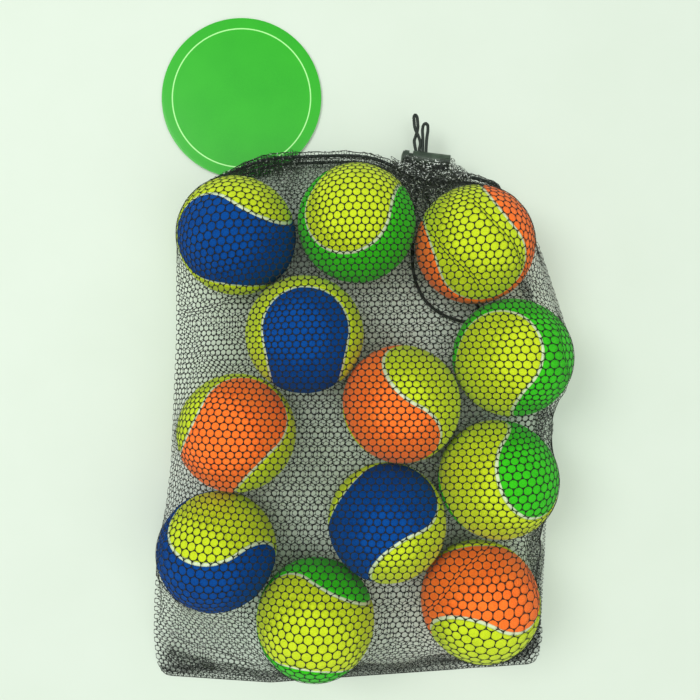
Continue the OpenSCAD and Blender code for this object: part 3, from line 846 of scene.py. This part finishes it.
def make_left_frill():
    """Net bunched up along the hem left of the lock, and in the gap between balls 1 and 2."""
    x = np.linspace(-88, -36, 60)
    full = smoothstep(x, -88, -62) * (1 - smoothstep(x, -42, -35))
    top = np.stack([x, hem_y(x) + 1.2, 19.5 + 2.4 * full], 1)
    foot = np.stack([x + 1.5, hem_y(x) - 3.5 - 5.5 * full, 17.5 + 2.5 * full], 1)
    crumpled_net("mouth_frill_left", foot, top, 9, 42, 1.3, 260, half_w=0.22)
    # The net in the gap between balls 1 and 2 takes the frill thread, whose white flecks paint light in the
    # gap.
    share = np.linspace(0, 1, 20)
    notch = np.stack([-53 + 21 * share, 142 + 1.5 * share, np.full_like(share, 24)], 1)
    gusset = np.stack([-40 + 4 * share, np.full_like(share, 120), np.full_like(share, 38)], 1)
    crumpled_net("mouth_frill_notch", gusset, notch, 16, 16, 1.5, 290, material=FRILL, half_w=0.17)
    crumpled_net("mouth_frill_left_under", foot + (2, 1, -2), top + (0, 1.5, -3), 9, 38, 1.3, 280,
                 half_w=0.22)


def seam_band(name, line, inward, nodes, seed):
    """Crumpled seam allowance lying inside the edge of the bag, with a run of edge stitching."""
    length = np.linalg.norm(np.diff(line, axis=0), axis=1).sum()
    fine = resample(np.column_stack([line, inward]), int(length / 2.5))
    edge, inward = fine[:, :3], unit(fine[:, 3:])
    drift = 1.6 * waves(edge, 25, 60, 6, seed)[:, None]
    up = np.array([0, 0, 1.0])
    low = edge + inward * (2.6 + drift) + up * 0.5
    high = edge + inward * (8.2 + 1.5 * drift) + up * 1.6
    crumpled_net(f"{name}_band", low, high, 7, int(length / 1.6), 1.0, seed + 10, *nodes, half_w=0.21)
    count = int(length / STITCH_PITCH) * STITCH_POINTS
    rail = resample(np.column_stack([edge + inward * 0.6, inward]), count)
    a = np.arange(count) * 2 * np.pi / STITCH_POINTS
    coil = rail[:, :3] + np.cos(a)[:, None] * rail[:, 3:] * 0.7 + np.sin(a)[:, None] * up * 0.45
    coil[:, 2] = np.maximum(coil[:, 2], 0.3)
    points, faces = sweep(coil, lambda s, angle: STITCH_R + 0 * s + 0 * angle, 5)
    piece(f"{name}_stitching", new_mesh(f"{name}_stitching", points, *faces), BINDING, "bag", "net_binding")


def make_seams():
    """Seam allowances of the right and bottom edges, and the crumpled bottom corners."""
    for name, low, high, seed in (
            ("corner_crumple_left", [[-119, -147, 1.5], [-112, -154, 2], [-88, -155, 2]],
             [[-116, -139, 4], [-106, -144, 5], [-88, -150, 3]], 300),
            ("corner_crumple_right", [[88, -150, 1.5], [101, -148, 1.5], [105, -140, 2]],
             [[84, -143, 3], [95, -139, 4], [99, -118, 5]], 320)):
        crumpled_net(name, np.array(low, float), np.array(high, float), 9, 24, 1.7, seed, half_w=0.24)
    ring = outline(SEAM_OFFSET)
    inward = with_z(unit(np.repeat(CORNERS, 5, 0) - ring), 0.0)
    flat = with_z(ring, 0.5)
    seam_band("right_seam", np.concatenate([flat[13:22], [[86, 126, 3]]]),
              np.concatenate([inward[13:22], inward[21:22]]), ("right_seam",), 70)
    seam_band("bottom_seam", flat[1:13], inward[1:13], ("bottom_seam",), 80)


# ---- Cord --------------------------------------------------------------------------------------

def braid(s, a):
    """Section radius of a braided cord at distance s along it and angle a round it."""
    turn = 2 * np.pi * s / 5.2
    left, right = np.cos(4 * (a + turn)), np.cos(4 * (a - turn))
    return CORD_R * (0.95 + 0.085 * np.maximum(left, right) + 0.02 * left)


def bight(x, reach, offsets, lifts, lean):
    """Bight of cord: two strands that cross or lie side by side and meet in a rounded end.

    offsets and lifts are (share of the reach, mm) stops of one strand; the other mirrors them. The end
    leans sideways by lean mm.
    """
    y0 = hem_y(LOCK_X)
    t = np.linspace(0, 1, 60)
    rise = np.sin(t * np.pi / 2)
    sideways = np.interp(rise, *np.array(offsets, float).T)
    lift = np.interp(rise, *np.array(lifts, float).T)
    smooth = np.hanning(9) / np.hanning(9).sum()
    sideways[4:-4] = np.convolve(sideways, smooth, "valid")
    lift[4:-4] = np.convolve(lift, smooth, "valid")
    rounded = np.sqrt(np.clip(1 - smoothstep(rise, 0.93, 1.005) ** 2, 0, 1))
    side = np.stack([sideways * rounded, 0 * t, lift * rounded], 1)
    middle = np.stack([x + lean * rise ** 2, y0 + 3.4 + (reach - 3.4) * rise, HEM_TOP_Z + 0 * t], 1)
    one, other = middle + side, middle - side
    return np.concatenate([one[:-1], other[::-1]])


def cord_path():
    """The drawcord's closed loop: round the hem, out and back through the lock twice, and a slack run."""
    slack_z = 2.4
    y0 = hem_y(LOCK_X)
    slack = [[32.2, y0 - 5, 19.4], [31.5, 118, 7], [31, 100, slack_z], [31.5, 88, slack_z],
             [34, 78, slack_z], [39, 69, slack_z], [47, 62, slack_z], [56, 58, slack_z],
             [65, 56, slack_z], [71, 59, slack_z], [70, 67, slack_z], [60, 76, slack_z],
             [49, 86, slack_z], [43, 100, slack_z], [43, 118, 6], [36.8, y0 - 5, 19.4]]
    crossed = ((0, 0.93), (0.42, 0.95), (0.5, 2.0), (0.56, 1.7), (0.68, 0), (0.78, -1.05), (1, -1.0))
    crossed_lifts = ((0, 0), (0.54, 0), (0.66, 0.95), (0.8, 0.2), (1, 0.1))
    first = bight(32.75, 36.8, crossed, crossed_lifts, -1.6)
    open_loop = ((0, 0.93), (0.5, 0.98), (0.7, 1.1), (0.85, 1.6), (1, 1.3))
    second = bight(36.25, 31.8, open_loop, ((0, 0), (1, 0.1)), 0.9)
    hem = hem_run()[::5]
    control = np.concatenate([hem, first[::4], first[-1:], slack, second[::4], second[-1:]])
    closed = np.concatenate([control[-1:], control, control[:2]])
    return spline(closed, 8)[:-1]


def make_cord():
    path = cord_path()
    length = np.linalg.norm(np.diff(path, axis=0), axis=1).sum()
    line = resample(np.concatenate([path, path[:1]]), int(length / 0.4))[:-1]
    points, faces = sweep(line, braid, 20, closed=True)
    piece("drawcord_braid", new_mesh("drawcord_braid", points, *faces), CORD, "bag", "cord", "drawcord")


# ---- Hang tag and lock -------------------------------------------------------------------------

def punched_disc(radius, hole_at, hole_r):
    """Flat points and triangles of a disc with a round hole, finer toward its edge."""
    rim_from, rim_count, hole_count = 46, 180, 36
    points, loops = [], []
    for r in (3, 9, 16, 23, 30, 36, 41, 44.5, 46.8, radius - 0.4, radius - 0.2, radius - 0.06, radius):
        count = rim_count if r > rim_from else int(12 + 3 * r)
        a = np.arange(count) * 2 * np.pi / count
        ring = r * np.stack([np.cos(a), np.sin(a)], 1)
        points += [p for p in ring if np.linalg.norm(p - hole_at) > hole_r + 0.9 or r > rim_from]
    loops.append(list(range(len(points) - rim_count, len(points))))
    a = np.arange(hole_count) * 2 * np.pi / hole_count
    for r in (hole_r, hole_r + 0.35):
        loops.append(list(range(len(points), len(points) + hole_count)))
        points += list(hole_at + r * np.stack([np.cos(a), np.sin(a)], 1))
    edges = [(loop[i - 1], loop[i]) for loop in loops for i in range(len(loop))]
    out = delaunay_2d_cdt([Vector(p) for p in points], edges, [], 0, 1e-5)
    flat = np.array([(v.x, v.y, 0) for v in out[0]])
    triangles = np.array(out[2])
    middle = flat[triangles].mean(1)[:, :2]
    return flat, triangles[np.linalg.norm(middle - hole_at, axis=1) > hole_r]


def make_tag():
    """Thin card disc with a rounded edge, a punched hole and a slight warp."""
    low, high = node_box("hang_tag")
    centre, radius = (low + high) / 2, (high[0] - low[0]) / 2
    flat, triangles = punched_disc(radius, np.array(TAG_HOLE), TAG_HOLE_R)
    corners = flat[triangles]
    facing = np.cross(corners[:, 1] - corners[:, 0], corners[:, 2] - corners[:, 0])[:, 2]
    triangles[facing < 0] = triangles[facing < 0][:, ::-1]
    half_t = (high[2] - low[2]) / 2
    reach = np.linalg.norm(flat[:, :2], axis=1)
    warp = 0.12 * waves(flat, 70, 120, 4, 7) + 0.15 * smoothstep(flat[:, 1], 0, radius)
    soft = half_t * np.sqrt(np.clip(1 - smoothstep(reach, radius - 0.35, radius + 0.1) ** 2, 0.1, 1))
    top, bottom = flat.copy(), flat.copy()
    top[:, 2], bottom[:, 2] = warp + soft, warp - soft
    verts, faces = close_shell(top, bottom, triangles)
    mesh = new_mesh("hang_tag_card", verts, *faces)
    piece("hang_tag_card", mesh, tag_material(radius), "hang_tag", "tag_card", "hang_tag",
          place=Matrix.Translation(Vector(centre * MM)))


def dress_nodes():
    """Materials of the CAD nodes that stay in view, and softened edges on the lock's moulded parts."""
    for name, material in (("lock_barrel", PLASTIC), ("lock_plunger", PLASTIC), ("tag_string", SEAM_PALE)):
        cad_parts[name].data.materials.clear()
        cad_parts[name].data.materials.append(material)
    for name in ("lock_barrel", "lock_plunger"):
        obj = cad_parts[name]
        bevel = obj.modifiers.new("soft_edges", "BEVEL")
        bevel.width = 0.25 * MM
        bevel.segments = 2
        bevel.limit_method = "ANGLE"
        bevel.angle_limit = math.radians(40)


def make_spring():
    """The lock's spring in round wire, as one fixed coil; the real spring shortens as the button is
    pressed.
    """
    points, _ = node_mesh("lock_spring")
    axis = np.array([math.cos(LOCK_TILT), -math.sin(LOCK_TILT), 0])
    across = np.array([math.sin(LOCK_TILT), math.cos(LOCK_TILT), 0])
    middle = (points.min(0) + points.max(0)) / 2
    reach = (points @ axis).max() - middle @ axis
    t = np.linspace(-1, 1, 80 * SPRING_TURNS)
    angle = np.pi * SPRING_TURNS * (t + 1)
    path = middle + (reach - WIRE_R) * t[:, None] * axis + SPRING_R * (
        np.cos(angle)[:, None] * across + np.sin(angle)[:, None] * (0, 0, 1))
    wire, faces = sweep(path, lambda s, a: WIRE_R + 0 * s + 0 * a, 10)
    coil = piece("lock_spring_coil", new_mesh("lock_spring_coil", wire, *faces), steel_material(),
                 "cord_lock", "spring_steel", "lock_spring")
    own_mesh(coil)


# ---- Stage -------------------------------------------------------------------------------------

def make_stage():
    bm = bmesh.new()
    bmesh.ops.create_circle(bm, cap_ends=True, segments=96, radius=FLOOR_R)
    mesh = bpy.data.meshes.new("table_top")
    bm.to_mesh(mesh)
    bm.free()
    mesh.materials.append(floor_material())
    floor = bpy.data.objects.new("table_top", mesh)
    bpy.context.scene.collection.objects.link(floor)


def area_light(name, place, size, power):
    """Round lamp at a place in metres, aimed at the origin."""
    data = bpy.data.lights.new(name, "AREA")
    data.shape = "DISK"
    data.size = size
    data.energy = power
    obj = bpy.data.objects.new(name, data)
    bpy.context.scene.collection.objects.link(obj)
    obj.location = place
    obj.rotation_euler = (-Vector(place)).to_track_quat("-Z", "Y").to_euler()


def make_light():
    area_light("key", (-0.8, 0.4, 1.35), 0.8, 10)
    area_light("fill", (0.8, -0.7, 1.3), 1.4, 4.5)
    area_light("top", (0.05, 0.1, 1.7), 1.0, 9)
    world = bpy.data.worlds.new("studio")
    world.use_nodes = True
    background = world.node_tree.nodes["Background"]
    background.inputs["Color"].default_value = srgb(236, 243, 236)
    background.inputs["Strength"].default_value = 0.64
    bpy.context.scene.world = world
    bpy.context.scene.view_settings.view_transform = "Standard"


def make_camera():
    """Camera that looks straight down."""
    data = bpy.data.cameras.new("camera")
    data.sensor_width = 36
    data.lens = 36
    data.clip_start = 0.01
    camera = bpy.data.objects.new("camera", data)
    camera.location = CAMERA_AT
    bpy.context.scene.collection.objects.link(camera)
    bpy.context.scene.camera = camera


# ---- The scene ---------------------------------------------------------------------------------

centres = make_balls()
make_net(centres)
make_hem()
make_lock_frill()
make_left_frill()
make_seams()
make_cord()
make_tag()
dress_nodes()
make_spring()
make_stage()
make_light()
make_camera()
